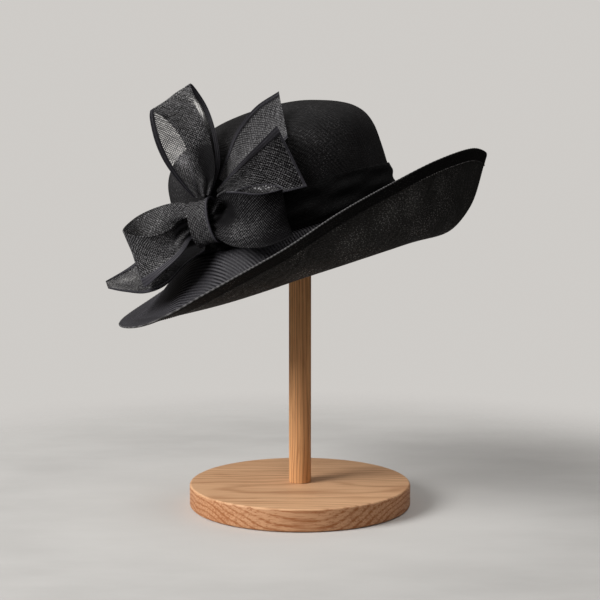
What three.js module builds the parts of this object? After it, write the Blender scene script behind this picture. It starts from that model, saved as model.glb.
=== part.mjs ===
// A sinamay hat with a draped band and a looped ribbon bow, held up on a round wooden stand.
// Millimetres, +Z up. The origin is the centre of the stand's underside.
// The hat leans on its stand: the wearer's front is the low end, towards -X.
import * as THREE from 'three';

// The stand
const BASE_DIAMETER = 200;
const BASE_THICKNESS = 20;
const BASE_EDGE_ROUND = 2;
const BASE_SIDES = 64;
const POST_DIAMETER = 20;
const POST_SIDES = 24;
const PAD_DIAMETER = 56;
const PAD_UNDERSIDE_HEIGHT = 338;
const PAD_RINGS = 4;
const PAD_SIDES = 24;
const PAD_OFF_POST = 4;
const SEAT_GAP = 0.3;

// How the hat sits: its frame's origin is the middle of the joint between crown and brim
const HAT_TILT_DEG = 16.5;
const HAT_X = -8;
const HAT_Z = 253.8;
const HAT_SIDES = 60;

// The crown: an oval dome, longer from front to back than from side to side
const CROWN_LENGTH = 195;
const CROWN_WIDTH = 167;
const CROWN_WALL = 1.6;
// reach is the share of the crown's half length, height is above the joint with the brim,
// and shift is how far that ring lies towards the back
const CROWN_PROFILE = [
  { reach: 1.000, height: 0, shift: 0 },
  { reach: 1.000, height: 20, shift: 0 },
  { reach: 0.996, height: 47, shift: 0 },
  { reach: 0.975, height: 65, shift: 0.5 },
  { reach: 0.918, height: 77, shift: 1.5 },
  { reach: 0.822, height: 86, shift: 2.5 },
  { reach: 0.700, height: 92.5, shift: 3 },
  { reach: 0.570, height: 97.3, shift: 3 },
  { reach: 0.390, height: 102.3, shift: 3 },
  { reach: 0.200, height: 104.8, shift: 3 },
  { reach: 0.000, height: 105.8, shift: 3 },
];

// The band: gathered cloth wrapped round the foot of the crown
const BAND_WALL = 1.4;
const BAND_BOTTOM = 3;
const BAND_TOP = 21.5;
const BAND_TOP_RISE = 12;
const BAND_TOP_RISE_TOWARDS_DEG = 265;
const BAND_FOLD_DEPTH = 1.8;
const BAND_FOLDS_ROUND = 5;
const BAND_FOLDS_HIGH = 2.5;
const BAND_STEPS = 7;

// The brim: it slopes down to its lowest line, then turns up to its edge except at the front
const BRIM_WALL = 2;
const COLLAR_HEIGHT = 8;
const BRIM_STEPS = 11;
// angle runs round the crown from the back, seen from above, through the far side;
// low is the lowest line and edge the rim, out from the centre and up from the joint
const BRIM_ROWS = [
  { angle: 0, lowOut: 130, lowUp: -44, edgeOut: 183, edgeUp: 10 },
  { angle: 24, lowOut: 126, lowUp: -44, edgeOut: 175, edgeUp: 12 },
  { angle: 45, lowOut: 118, lowUp: -43, edgeOut: 166, edgeUp: 5 },
  { angle: 68, lowOut: 110, lowUp: -43, edgeOut: 159, edgeUp: 0 },
  { angle: 90, lowOut: 109, lowUp: -42, edgeOut: 154, edgeUp: -5 },
  { angle: 120, lowOut: 122, lowUp: -41, edgeOut: 162, edgeUp: -16 },
  { angle: 150, lowOut: 144, lowUp: -41, edgeOut: 173, edgeUp: -35 },
  { angle: 180, lowOut: 154, lowUp: -40, edgeOut: 173, edgeUp: -42 },
  { angle: 204, lowOut: 143, lowUp: -41, edgeOut: 161, edgeUp: -43.5 },
  { angle: 222, lowOut: 132, lowUp: -41, edgeOut: 155, edgeUp: -37.5 },
  { angle: 237, lowOut: 122, lowUp: -41, edgeOut: 151, edgeUp: -28.5 },
  { angle: 252, lowOut: 114, lowUp: -40, edgeOut: 150, edgeUp: -19.5 },
  { angle: 268, lowOut: 110, lowUp: -38.5, edgeOut: 150, edgeUp: -9.5 },
  { angle: 286, lowOut: 111, lowUp: -38, edgeOut: 154, edgeUp: 5 },
  { angle: 304, lowOut: 115, lowUp: -38, edgeOut: 161, edgeUp: 15 },
  { angle: 322, lowOut: 121, lowUp: -39, edgeOut: 168, edgeUp: 21 },
  { angle: 342, lowOut: 127, lowUp: -43, edgeOut: 176, edgeUp: 20 },
];
const SLOPE_OUT_SHARE = 0.5;
const SLOPE_DROP_SHARE = 0.6;
const FLANK_OUT_SHARE = 0.48;
const FLANK_RISE_SHARE = 0.25;
const COLLAR_FOOT = -1.9;
const SHOULDER_OFF_CROWN = 3;

// The bow: ribbons of doubled cloth. Each row is a station along a ribbon, with its two
// edges a and b in the stand's frame, and bulge, how far its middle stands off the flat
const RIBBON_WALL = 1.2;
const RIBBON_ACROSS = 4;
const LOOP_STEPS = 20;
const TAIL_STEPS = 10;
const LOWER_TAIL_STEPS = 12;
const UPPER_LOOP = [
  { ax: -89, ay: -76, az: 280, bx: -76, by: -80, bz: 282.5, bulge: 1 },
  { ax: -100, ay: -80, az: 292, bx: -70, by: -86, bz: 303, bulge: 3 },
  { ax: -113, ay: -84, az: 311, bx: -74, by: -82, bz: 327, bulge: 3 },
  { ax: -121, ay: -84, az: 331, bx: -82, by: -68, bz: 349, bulge: 2 },
  { ax: -124, ay: -76, az: 352, bx: -93, by: -50, bz: 376, bulge: 0 },
  { ax: -108, ay: -66, az: 341, bx: -80, by: -44, bz: 358, bulge: 2 },
  { ax: -95, ay: -63, az: 320, bx: -69, by: -68, bz: 327, bulge: 2 },
  { ax: -92, ay: -63, az: 301, bx: -67, by: -79, bz: 306, bulge: 2 },
  { ax: -86, ay: -67, az: 281, bx: -75, by: -75.5, bz: 283, bulge: 1 },
];
const LEFT_LOOP = [
  { ax: -82, ay: -76.5, az: 264, bx: -82, by: -76.5, bz: 251, bulge: 0 },
  { ax: -89, ay: -75.5, az: 264, bx: -89, by: -76, bz: 249, bulge: 0 },
  { ax: -101, ay: -82, az: 262, bx: -95, by: -82.5, bz: 239, bulge: -3 },
  { ax: -109, ay: -83, az: 254, bx: -101, by: -85, bz: 231, bulge: -4 },
  { ax: -126, ay: -80, az: 248, bx: -115, by: -83, bz: 218, bulge: -3 },
  { ax: -149, ay: -64, az: 251, bx: -132, by: -70, bz: 204, bulge: 0 },
  { ax: -143, ay: -42, az: 261, bx: -128, by: -50, bz: 214, bulge: -2 },
  { ax: -125, ay: -40, az: 270, bx: -111, by: -47, bz: 232, bulge: -3 },
  { ax: -102, ay: -56, az: 275, bx: -97, by: -60, bz: 243, bulge: -2 },
  { ax: -86, ay: -69, az: 270, bx: -85, by: -69, bz: 247, bulge: -1 },
  { ax: -80, ay: -73, az: 266, bx: -80, by: -73, bz: 250, bulge: 0 },
];
const RIGHT_LOOP = [
  { ax: -76, ay: -84, az: 268, bx: -76, by: -84, bz: 252, bulge: 0 },
  { ax: -72, ay: -88, az: 272, bx: -72, by: -88, bz: 250, bulge: 1 },
  { ax: -66, ay: -94, az: 284, bx: -61, by: -95, bz: 244, bulge: 3 },
  { ax: -53, ay: -106, az: 286, bx: -49, by: -110, bz: 241, bulge: 5 },
  { ax: -31, ay: -118, az: 285, bx: -28, by: -120, bz: 242, bulge: 4 },
  { ax: -14, ay: -111, az: 289, bx: -6, by: -114, bz: 250, bulge: 2 },
  { ax: -19, ay: -100, az: 291, bx: -12, by: -102, bz: 248, bulge: 2 },
  { ax: -33, ay: -96, az: 292, bx: -27, by: -97, bz: 246, bulge: 1 },
  { ax: -52, ay: -93, az: 287, bx: -47, by: -94, bz: 244, bulge: 0 },
  { ax: -66, ay: -82.5, az: 272, bx: -65, by: -83, bz: 251, bulge: 0 },
  { ax: -73, ay: -80, az: 268, bx: -73, by: -80, bz: 252, bulge: 0 },
];
const FRONT_TAIL = [
  { ax: -69, ay: -78.5, az: 288, bx: -69, by: -78.5, bz: 279, bulge: 0 },
  { ax: -60, ay: -83.5, az: 298, bx: -56, by: -84.5, bz: 278, bulge: 1 },
  { ax: -45, ay: -88.5, az: 314, bx: -33, by: -89, bz: 281, bulge: 1 },
  { ax: -30, ay: -89.5, az: 329, bx: -10, by: -90, bz: 286, bulge: 1 },
  { ax: -19, ay: -87.5, az: 340, bx: 6, by: -90.5, bz: 290, bulge: 0 },
];
const BACK_TAIL = [
  { ax: -68, ay: -75.5, az: 296, bx: -60, by: -80.5, bz: 292, bulge: 0 },
  { ax: -61, ay: -76.5, az: 315, bx: -44, by: -84.5, bz: 302, bulge: 1 },
  { ax: -53, ay: -74.5, az: 335, bx: -30, by: -85, bz: 312, bulge: 1 },
  { ax: -38, ay: -66.5, az: 355, bx: -18, by: -83.5, bz: 322, bulge: 2 },
  { ax: -18, ay: -52.5, az: 369, bx: -10, by: -81.5, bz: 330, bulge: 1 },
];
const LOWER_TAIL = [
  { ax: -80, ay: -62, az: 242, bx: -80, by: -74, bz: 236, bulge: 0 },
  { ax: -98, ay: -43, az: 243, bx: -97, by: -75, bz: 224, bulge: -2 },
  { ax: -116, ay: -30, az: 239, bx: -114, by: -71, bz: 206, bulge: -4 },
  { ax: -134, ay: -24, az: 229, bx: -132, by: -64, bz: 199, bulge: -5 },
  { ax: -152, ay: -26, az: 216, bx: -150, by: -54, bz: 199, bulge: -3 },
  { ax: -169, ay: -36, az: 206, bx: -166, by: -44, bz: 201, bulge: 0 },
];

// The knot: a band of the same ribbon, wrapped round the gathered middle of the bow
const KNOT = { x: -79, y: -78, z: 260, height: 36, depth: 17, width: 21 };
const KNOT_TURN_DEG = -32;
const KNOT_LEAN_DEG = 15;
const KNOT_WALL = 1.2;
const KNOT_WAIST = 1.5;
const KNOT_SIDES = 20;
const KNOT_STEPS = 4;

const sinamay = { color: 0x1d1c20, roughness: 0.75, metalness: 0, side: THREE.DoubleSide };
const crownCloth = new THREE.MeshStandardMaterial(sinamay);
const brimCloth = new THREE.MeshStandardMaterial({ ...sinamay, color: 0x232226 });
const bandCloth = new THREE.MeshStandardMaterial({ ...sinamay, color: 0x0e0d10 });
const bowCloth = new THREE.MeshStandardMaterial({ ...sinamay, color: 0x2b2a2f });
const oak = new THREE.MeshStandardMaterial({ color: 0xc08a5c, roughness: 0.6, metalness: 0 });

const CROWN_RATIO = CROWN_WIDTH / CROWN_LENGTH;
const DEG_PER_RAD = 180 / Math.PI;

// A closed body from a grid of points: front and back hold the same rows of points, round
// says that each row closes on itself, and the open borders are joined by narrow faces
function closedWall(front, back, round) {
  const rows = front.length;
  const columns = front[0].length;
  const positions = [...front.flat(), ...back.flat()].flatMap((p) => [p.x, p.y, p.z]);
  const backStart = rows * columns;
  const indices = [];
  const quad = (a, b, c, d) => indices.push(a, b, c, a, c, d);
  const across = round ? columns : columns - 1;
  for (let i = 0; i < rows - 1; i += 1) {
    for (let j = 0; j < across; j += 1) {
      const next = (j + 1) % columns;
      const [a, b] = [i * columns + j, i * columns + next];
      const [c, d] = [(i + 1) * columns + next, (i + 1) * columns + j];
      quad(a, b, c, d);
      quad(backStart + a, backStart + d, backStart + c, backStart + b);
    }
  }
  const last = (rows - 1) * columns;
  for (let j = 0; j < across; j += 1) {
    const next = (j + 1) % columns;
    quad(next, j, backStart + j, backStart + next);
    quad(last + j, last + next, backStart + last + next, backStart + last + j);
  }
  if (!round) {
    for (let i = 0; i < rows - 1; i += 1) {
      const [a, b] = [i * columns, (i + 1) * columns];
      quad(a, b, backStart + b, backStart + a);
      const [c, d] = [a + columns - 1, b + columns - 1];
      quad(d, c, backStart + c, backStart + d);
    }
  }
  const geometry = new THREE.BufferGeometry();
  geometry.setAttribute('position', new THREE.Float32BufferAttribute(positions, 3));
  geometry.setIndex(indices);
  geometry.computeVertexNormals();
  return geometry;
}

// A wall of even thickness about a grid of middle points
function clothWall(middle, thickness, round) {
  const rows = middle.length;
  const columns = middle[0].length;
  const wrap = (j) => (round ? (j + columns) % columns : Math.min(Math.max(j, 0), columns - 1));
  const offset = (i, j, distance) => {
    const down = middle[Math.min(i + 1, rows - 1)][j].clone();
    down.sub(middle[Math.max(i - 1, 0)][j]);
    const along = middle[i][wrap(j + 1)].clone().sub(middle[i][wrap(j - 1)]);
    const normal = down.cross(along).normalize();
    return middle[i][j].clone().addScaledVector(normal, -distance);
  };
  const side = (distance) => middle.map((row, i) => row.map((_, j) => offset(i, j, distance)));
  return closedWall(side(thickness / 2), side(-thickness / 2), round);
}

// A smooth value at any angle from a table whose rows go once round
function aroundTable(rows, column, angle) {
  const turn = (a) => ((a % 360) + 360) % 360;
  const at = turn(angle);
  const count = rows.length;
  let first = rows.findLastIndex((row) => row.angle <= at);
  if (first < 0) first = count - 1;
  const pick = (k) => rows[(k + count) % count];
  const span = (k) => turn(pick(k + 1).angle - pick(k).angle);
  const slope = (k) => (pick(k + 1)[column] - pick(k - 1)[column]) / (span(k - 1) + span(k));
  const s = turn(at - pick(first).angle) / span(first);
  const [start, end] = [pick(first)[column], pick(first + 1)[column]];
  const [leave, arrive] = [slope(first) * span(first), slope(first + 1) * span(first)];
  return (2 * s ** 3 - 3 * s ** 2 + 1) * start + (s ** 3 - 2 * s ** 2 + s) * leave
    + (3 * s ** 2 - 2 * s ** 3) * end + (s ** 3 - s ** 2) * arrive;
}

const sideAngles = Array.from({ length: HAT_SIDES }, (_, j) => (360 * j) / HAT_SIDES);

function crownProfile() {
  return CROWN_PROFILE.map(({ reach, height }) => (
    new THREE.Vector2((reach * CROWN_LENGTH) / 2, height)
  ));
}

// How far the crown's rings lie towards the back at a height
function crownShift(height) {
  let above = CROWN_PROFILE.findIndex((row) => row.height >= height);
  if (above < 1) above = above < 0 ? CROWN_PROFILE.length - 1 : 1;
  const [from, to] = [CROWN_PROFILE[above - 1], CROWN_PROFILE[above]];
  const share = (height - from.height) / (to.height - from.height);
  return from.shift + Math.min(Math.max(share, 0), 1) * (to.shift - from.shift);
}

// How far out the crown's outside is at a height, towards an angle seen from the centre
function crownOut(angle, height) {
  const keys = crownProfile();
  const above = Math.max(keys.findIndex((key) => key.y >= height), 1);
  const share = (height - keys[above - 1].y) / (keys[above].y - keys[above - 1].y);
  const reach = keys[above - 1].x + share * (keys[above].x - keys[above - 1].x);
  const [c, s] = [Math.cos(angle / DEG_PER_RAD), Math.sin(angle / DEG_PER_RAD)];
  return reach / Math.hypot(c, s / CROWN_RATIO);
}

// How high the crown's inside is over a point of its plan
function crownInsideHeight(x, y) {
  const keys = crownProfile();
  const top = keys[keys.length - 1].y;
  const distance = Math.hypot(x - crownShift(top), y / CROWN_RATIO);
  const inner = keys.findIndex((key) => key.x <= distance);
  const share = (distance - keys[inner].x) / (keys[inner - 1].x - keys[inner].x);
  const outside = keys[inner].y + share * (keys[inner - 1].y - keys[inner].y);
  const slope = (keys[inner].y - keys[inner - 1].y) / (keys[inner - 1].x - keys[inner].x);
  return outside - CROWN_WALL * Math.hypot(1, slope / CROWN_RATIO);
}

function onPlan(angle, out, height) {
  return new THREE.Vector3(
    out * Math.cos(angle / DEG_PER_RAD),
    out * Math.sin(angle / DEG_PER_RAD),
    height,
  );
}

function crownGeometry() {
  const outer = crownProfile();
  const inner = outer.map((key, k) => {
    const before = outer[Math.max(k - 1, 0)];
    const after = outer[Math.min(k + 1, outer.length - 1)];
    const along = after.clone().sub(before).normalize();
    return new THREE.Vector2(key.x - along.y * CROWN_WALL, key.y + along.x * CROWN_WALL);
  });
  inner[0].y = 0;
  inner[inner.length - 1].set(0, outer[outer.length - 1].y - CROWN_WALL);
  const geometry = new THREE.LatheGeometry([...inner.reverse(), ...outer], HAT_SIDES);
  geometry.rotateX(Math.PI / 2);
  geometry.scale(1, CROWN_RATIO, 1);
  const place = geometry.attributes.position;
  for (let i = 0; i < place.count; i += 1) {
    place.setX(i, place.getX(i) + crownShift(place.getZ(i)));
  }
  return geometry;
}

function bandGeometry() {
  const middle = [];
  for (let i = 0; i <= BAND_STEPS; i += 1) {
    const share = i / BAND_STEPS;
    middle.push(sideAngles.map((angle) => {
      const towards = Math.cos((angle - BAND_TOP_RISE_TOWARDS_DEG) / DEG_PER_RAD);
      const top = BAND_TOP + (BAND_TOP_RISE * (1 + towards)) / 2;
      const height = BAND_BOTTOM + share * (top - BAND_BOTTOM);
      const phase = (BAND_FOLDS_ROUND * angle) / DEG_PER_RAD + share * BAND_FOLDS_HIGH * 2 * Math.PI;
      const wave = Math.sin(phase);
      const fold = BAND_FOLD_DEPTH * (0.5 + 0.5 * wave) * Math.sin(Math.PI * share) ** 0.5;
      const out = crownOut(angle, height) + 2 * SEAT_GAP + BAND_WALL / 2 + fold;
      return onPlan(angle, out, height);
    }));
  }
  return clothWall(middle, BAND_WALL, true);
}

// The brim's middle line towards one angle: up inside the crown as a collar, then out
function brimSection(angle) {
  const value = (column) => aroundTable(BRIM_ROWS, column, angle);
  const foot = crownOut(angle, 0);
  const collarOut = foot - CROWN_WALL - 2 * SEAT_GAP - BRIM_WALL / 2;
  const shoulder = new THREE.Vector2(foot + SHOULDER_OFF_CROWN, 2 * COLLAR_FOOT);
  const low = new THREE.Vector2(value('lowOut'), value('lowUp'));
  const edge = new THREE.Vector2(value('edgeOut'), value('edgeUp'));
  const between = (from, to, outShare, upShare) => new THREE.Vector2(
    from.x + outShare * (to.x - from.x),
    from.y + upShare * (to.y - from.y),
  );
  const slope = between(shoulder, low, SLOPE_OUT_SHARE, SLOPE_DROP_SHARE);
  const flank = between(low, edge, FLANK_OUT_SHARE, FLANK_RISE_SHARE);
  const sweep = new THREE.SplineCurve([shoulder, slope, low, flank, edge]);
  const points = [
    new THREE.Vector2(collarOut, COLLAR_HEIGHT),
    new THREE.Vector2(collarOut, COLLAR_FOOT),
  ];
  points.push(...sweep.getPoints(BRIM_STEPS - 2));
  return points.map((point) => onPlan(angle, point.x, point.y));
}

function brimGeometry() {
  const sections = sideAngles.map(brimSection);
  const middle = sections[0].map((_, i) => sections.map((section) => section[i]));
  return clothWall(middle, BRIM_WALL, true);
}

// A ribbon through the stations of a table, smoothed along its length
function ribbonGeometry(rows, steps) {
  const curve = (x, y, z) => new THREE.CatmullRomCurve3(
    rows.map((row) => new THREE.Vector3(row[x], row[y], row[z])),
    false,
    'centripetal',
  );
  const edgeA = curve('ax', 'ay', 'az');
  const edgeB = curve('bx', 'by', 'bz');
  const bulges = new THREE.SplineCurve(rows.map((row, k) => new THREE.Vector2(k, row.bulge)));
  const middle = [];
  for (let i = 0; i <= steps; i += 1) {
    const share = i / steps;
    const a = edgeA.getPoint(share);
    const b = edgeB.getPoint(share);
    const along = edgeA.getTangent(share).add(edgeB.getTangent(share)).normalize();
    const off = along.cross(b.clone().sub(a)).normalize();
    const line = [];
    for (let j = 0; j <= RIBBON_ACROSS; j += 1) {
      const s = j / RIBBON_ACROSS;
      const stand = bulges.getPoint(share).y * 4 * s * (1 - s);
      line.push(a.clone().lerp(b, s).addScaledVector(off, stand));
    }
    middle.push(line);
  }
  return clothWall(middle, RIBBON_WALL, false);
}

function knotGeometry() {
  const middle = [];
  for (let i = 0; i <= KNOT_STEPS; i += 1) {
    const share = (2 * i) / KNOT_STEPS - 1;
    const flare = KNOT_WAIST * share * share;
    const line = [];
    for (let j = 0; j < KNOT_SIDES; j += 1) {
      const angle = (2 * Math.PI * j) / KNOT_SIDES;
      line.push(new THREE.Vector3(
        (share * KNOT.width) / 2,
        (KNOT.depth / 2 + flare) * Math.cos(angle),
        (KNOT.height / 2 + flare) * Math.sin(angle),
      ));
    }
    middle.push(line);
  }
  return clothWall(middle, KNOT_WALL, true);
}

function baseGeometry() {
  const radius = BASE_DIAMETER / 2;
  const round = BASE_EDGE_ROUND;
  const chamfer = round * (1 - Math.SQRT1_2);
  const profile = [
    [0, 0],
    [radius - round, 0],
    [radius - chamfer, chamfer],
    [radius, round],
    [radius, BASE_THICKNESS - round],
    [radius - chamfer, BASE_THICKNESS - chamfer],
    [radius - round, BASE_THICKNESS],
    [0, BASE_THICKNESS],
  ].map(([x, y]) => new THREE.Vector2(x, y));
  const geometry = new THREE.LatheGeometry(profile, BASE_SIDES);
  geometry.rotateX(Math.PI / 2);
  return geometry;
}

function postGeometry() {
  const length = PAD_UNDERSIDE_HEIGHT - BASE_THICKNESS - 2 * SEAT_GAP;
  const geometry = new THREE.CylinderGeometry(
    POST_DIAMETER / 2,
    POST_DIAMETER / 2,
    length,
    POST_SIDES,
  );
  geometry.rotateX(Math.PI / 2);
  return geometry;
}

// The pad, in the hat's frame: its top follows the crown's inside, its underside is level
function padGeometry() {
  const tilt = HAT_TILT_DEG / DEG_PER_RAD;
  const lift = PAD_UNDERSIDE_HEIGHT - HAT_Z;
  const centre = lift * Math.sin(tilt) - HAT_X * Math.cos(tilt) + PAD_OFF_POST;
  const top = [];
  const bottom = [];
  for (let i = PAD_RINGS; i > 0; i -= 1) {
    const radius = (PAD_DIAMETER / 2) * (i / PAD_RINGS);
    const ring = Array.from({ length: PAD_SIDES }, (_, j) => (2 * Math.PI * j) / PAD_SIDES);
    const plan = ring.map((a) => [centre + radius * Math.cos(a), radius * Math.sin(a)]);
    top.push(plan.map(([x, y]) => (
      new THREE.Vector3(x, y, crownInsideHeight(x, y) - SEAT_GAP)
    )));
    bottom.push(plan.map(([x, y]) => (
      new THREE.Vector3(x, y, (lift - x * Math.sin(tilt)) / Math.cos(tilt))
    )));
  }
  const positions = [];
  const indices = [];
  const put = (p) => positions.push(p.x, p.y, p.z);
  [...top.flat(), ...bottom.flat()].forEach(put);
  const topMiddle = positions.length / 3;
  put(new THREE.Vector3(centre, 0, crownInsideHeight(centre, 0) - SEAT_GAP));
  put(new THREE.Vector3(centre, 0, (lift - centre * Math.sin(tilt)) / Math.cos(tilt)));
  const bottomStart = PAD_RINGS * PAD_SIDES;
  for (let j = 0; j < PAD_SIDES; j += 1) {
    const next = (j + 1) % PAD_SIDES;
    for (let i = 0; i < PAD_RINGS - 1; i += 1) {
      const [a, b] = [i * PAD_SIDES + j, i * PAD_SIDES + next];
      const [c, d] = [b + PAD_SIDES, a + PAD_SIDES];
      indices.push(a, b, c, a, c, d);
      indices.push(bottomStart + a, bottomStart + c, bottomStart + b);
      indices.push(bottomStart + a, bottomStart + d, bottomStart + c);
    }
    const inner = (PAD_RINGS - 1) * PAD_SIDES;
    indices.push(inner + j, inner + next, topMiddle);
    indices.push(bottomStart + inner + next, bottomStart + inner + j, topMiddle + 1);
    indices.push(j, bottomStart + j, bottomStart + next, j, bottomStart + next, next);
  }
  const geometry = new THREE.BufferGeometry();
  geometry.setAttribute('position', new THREE.Float32BufferAttribute(positions, 3));
  geometry.setIndex(indices);
  geometry.computeVertexNormals();
  return geometry;
}

function piece(name, geometry, material) {
  const mesh = new THREE.Mesh(geometry, material);
  mesh.name = name;
  return mesh;
}

const part = new THREE.Group();

const stand = new THREE.Group();
stand.add(piece('stand_base', baseGeometry(), oak));
const post = piece('stand_post', postGeometry(), oak);
post.position.z = (BASE_THICKNESS + PAD_UNDERSIDE_HEIGHT) / 2;
stand.add(post);
part.add(stand);

const hat = new THREE.Group();
hat.position.set(HAT_X, 0, HAT_Z);
hat.rotation.y = -HAT_TILT_DEG / DEG_PER_RAD;
hat.add(piece('crown', crownGeometry(), crownCloth));
hat.add(piece('brim', brimGeometry(), brimCloth));
hat.add(piece('hat_band', bandGeometry(), bandCloth));
hat.add(piece('stand_pad', padGeometry(), oak));
part.add(hat);

const bow = new THREE.Group();
bow.add(piece('bow_upper_loop', ribbonGeometry(UPPER_LOOP, LOOP_STEPS), bowCloth));
bow.add(piece('bow_left_loop', ribbonGeometry(LEFT_LOOP, LOOP_STEPS), bowCloth));
bow.add(piece('bow_right_loop', ribbonGeometry(RIGHT_LOOP, LOOP_STEPS), bowCloth));
bow.add(piece('bow_front_tail', ribbonGeometry(FRONT_TAIL, TAIL_STEPS), bowCloth));
bow.add(piece('bow_back_tail', ribbonGeometry(BACK_TAIL, TAIL_STEPS), bowCloth));
bow.add(piece('bow_lower_tail', ribbonGeometry(LOWER_TAIL, LOWER_TAIL_STEPS), bowCloth));
const knot = piece('bow_knot', knotGeometry(), bowCloth);
knot.position.set(KNOT.x, KNOT.y, KNOT.z);
knot.rotation.set(0, -KNOT_LEAN_DEG / DEG_PER_RAD, KNOT_TURN_DEG / DEG_PER_RAD, 'ZYX');
bow.add(knot);
part.add(bow);

export default part;
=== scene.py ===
"""The looks of a black sinamay hat with a ribbon bow, on a round oak stand."""
import math

import bpy
import numpy as np
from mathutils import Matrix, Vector


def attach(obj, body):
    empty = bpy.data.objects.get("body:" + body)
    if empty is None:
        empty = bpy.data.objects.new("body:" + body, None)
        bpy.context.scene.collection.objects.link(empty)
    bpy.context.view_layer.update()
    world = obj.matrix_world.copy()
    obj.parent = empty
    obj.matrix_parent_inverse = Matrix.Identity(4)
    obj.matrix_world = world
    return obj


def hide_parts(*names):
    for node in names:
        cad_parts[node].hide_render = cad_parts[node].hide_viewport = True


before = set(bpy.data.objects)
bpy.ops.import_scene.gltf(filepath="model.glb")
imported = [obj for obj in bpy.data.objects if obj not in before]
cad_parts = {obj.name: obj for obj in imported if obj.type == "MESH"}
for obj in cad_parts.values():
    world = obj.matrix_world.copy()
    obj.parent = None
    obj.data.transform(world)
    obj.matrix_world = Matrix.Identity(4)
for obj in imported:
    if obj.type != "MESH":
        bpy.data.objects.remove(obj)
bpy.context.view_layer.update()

MM = 0.001

# How sharply two faces may meet before their edge is shaded sharp
CLOTH_CREASE = math.radians(50)
WOOD_CREASE = math.radians(35)

# The hat's own frame: its origin is the middle of the joint between crown and brim
HAT_TILT = math.radians(16.5)
HAT_ORIGIN = np.array([-8.0, 0.0, 253.8])

# The crown: its half length and width, and rings as (share of half length, height, shift back)
CROWN_LONG = 97.5
CROWN_RATIO = 167 / 195
CROWN_WALL = 1.4
CROWN_RINGS = [
    (1.000, 0, 0), (1.000, 20, 0), (0.996, 47, 0), (0.975, 65, 0.5), (0.918, 77, 1.5),
    (0.822, 86, 2.5), (0.700, 92.5, 3), (0.570, 97.3, 3), (0.390, 102.3, 3),
    (0.200, 104.8, 3), (0.012, 105.8, 3),
]
CROWN_STEPS = 9
CROWN_SIDES = 240

# The brim: its collar lies inside the crown's foot, and turns out below it to a shoulder
BRIM_WALL = 1.7
BRIM_HEM = 10.0
BRIM_HEM_EXTRA = 0.5
COLLAR_INSET = 3.2
COLLAR_HEIGHTS = (8, 2, -0.8)
COLLAR_TURN = (-1.5, -2.6)
SHOULDER = (3, -3.8)
SLOPE_BOW = (0.5, 0.6)
FLANK_BOW = (0.48, 0.25)
BRIM_STEPS = 24

# The brim's rows: angle from the back, lowest line out and up, edge out and up
BRIM_ROWS = [
    (0, 130, -44, 183, 10), (24, 126, -44, 175, 12), (45, 118, -43, 166, 5),
    (68, 110, -43, 159, 0), (90, 109, -42, 154, -5), (120, 122, -41, 162, -16),
    (150, 144, -41, 173, -35), (180, 154, -40, 173, -42), (204, 143, -41, 161, -43.5),
    (222, 132, -41, 155, -37.5), (237, 122, -41, 151, -28.5), (252, 114, -40, 150, -19.5),
    (268, 110, -38.5, 150, -9.5), (286, 111, -38, 154, 5), (304, 115, -38, 161, 15),
    (322, 121, -39, 168, 21), (342, 127, -43, 176, 20),
]

# The cord rolled into the brim's edge, and the hem's stitches
CORD_RADIUS = 0.75
CORD_WAVE = 0.12
CORD_WAVES = 230
STITCH_RADIUS = 0.42
STITCH_PITCH = 3.1
STITCH_LENGTH = 2.2
STITCH_SECTIONS = ((0, 0.35), (0.25, 1), (0.75, 1), (1, 0.35))
STITCH_SIDES = 6

# The band: its foot, how high it reaches all round and more under the bow, and its folds
BAND_WALL = 0.9
BAND_FOOT = 2.4
BAND_TOP = 21.5
BAND_RISE = 6
BAND_RISE_TOWARDS = 265
BAND_SLACK = 1.7
BAND_FOLDS = 5
BAND_TURNS = 1.6

# The bow's ribbons: walls, sections a station, and hems
RIBBON_WALL = 0.5
RIBBON_STEPS = 16
HEM_WALL = 1.0
HEM_WIDTH = 4.5

# Stations along each ribbon, as edge a, edge b and how far the middle stands off
UPPER_LOOP = [
    (-89, -76, 280, -76, -80, 282.5, 1), (-100, -80, 292, -70, -86, 303, 3),
    (-113, -84, 311, -74, -82, 327, 3), (-121, -84, 331, -82, -68, 349, 2),
    (-124, -76, 352, -93, -50, 376, 0), (-108, -66, 341, -80, -44, 358, 2),
    (-95, -63, 320, -69, -68, 327, 2), (-92, -63, 301, -67, -79, 306, 2),
    (-86, -67, 281, -75, -75.5, 283, 1),
]
LEFT_LOOP = [
    (-82, -76.5, 264, -82, -76.5, 251, 0), (-89, -75.5, 264, -89, -76, 249, 0),
    (-101, -82, 262, -95, -82.5, 239, -3), (-109, -83, 254, -101, -85, 231, -4),
    (-126, -80, 248, -115, -83, 218, -3), (-149, -64, 251, -132, -70, 204, 0),
    (-143, -42, 261, -128, -50, 214, -2), (-125, -40, 270, -111, -47, 232, -3),
    (-102, -56, 275, -97, -60, 243, -2), (-86, -69, 270, -85, -69, 247, -1),
    (-80, -73, 266, -80, -73, 250, 0),
]
RIGHT_LOOP = [
    (-76, -84, 268, -76, -84, 252, 0), (-72, -88, 272, -72, -88, 250, 1),
    (-66, -94, 284, -61, -95, 244, 3), (-53, -106, 286, -49, -110, 241, 5),
    (-31, -118, 285, -28, -120, 242, 4), (-14, -111, 289, -6, -114, 250, 2),
    (-19, -100, 291, -12, -102, 248, 2), (-33, -96, 292, -27, -97, 246, 1),
    (-52, -93, 287, -47, -94, 244, 0), (-66, -82.5, 272, -65, -83, 251, 0),
    (-73, -80, 268, -73, -80, 252, 0),
]
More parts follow.
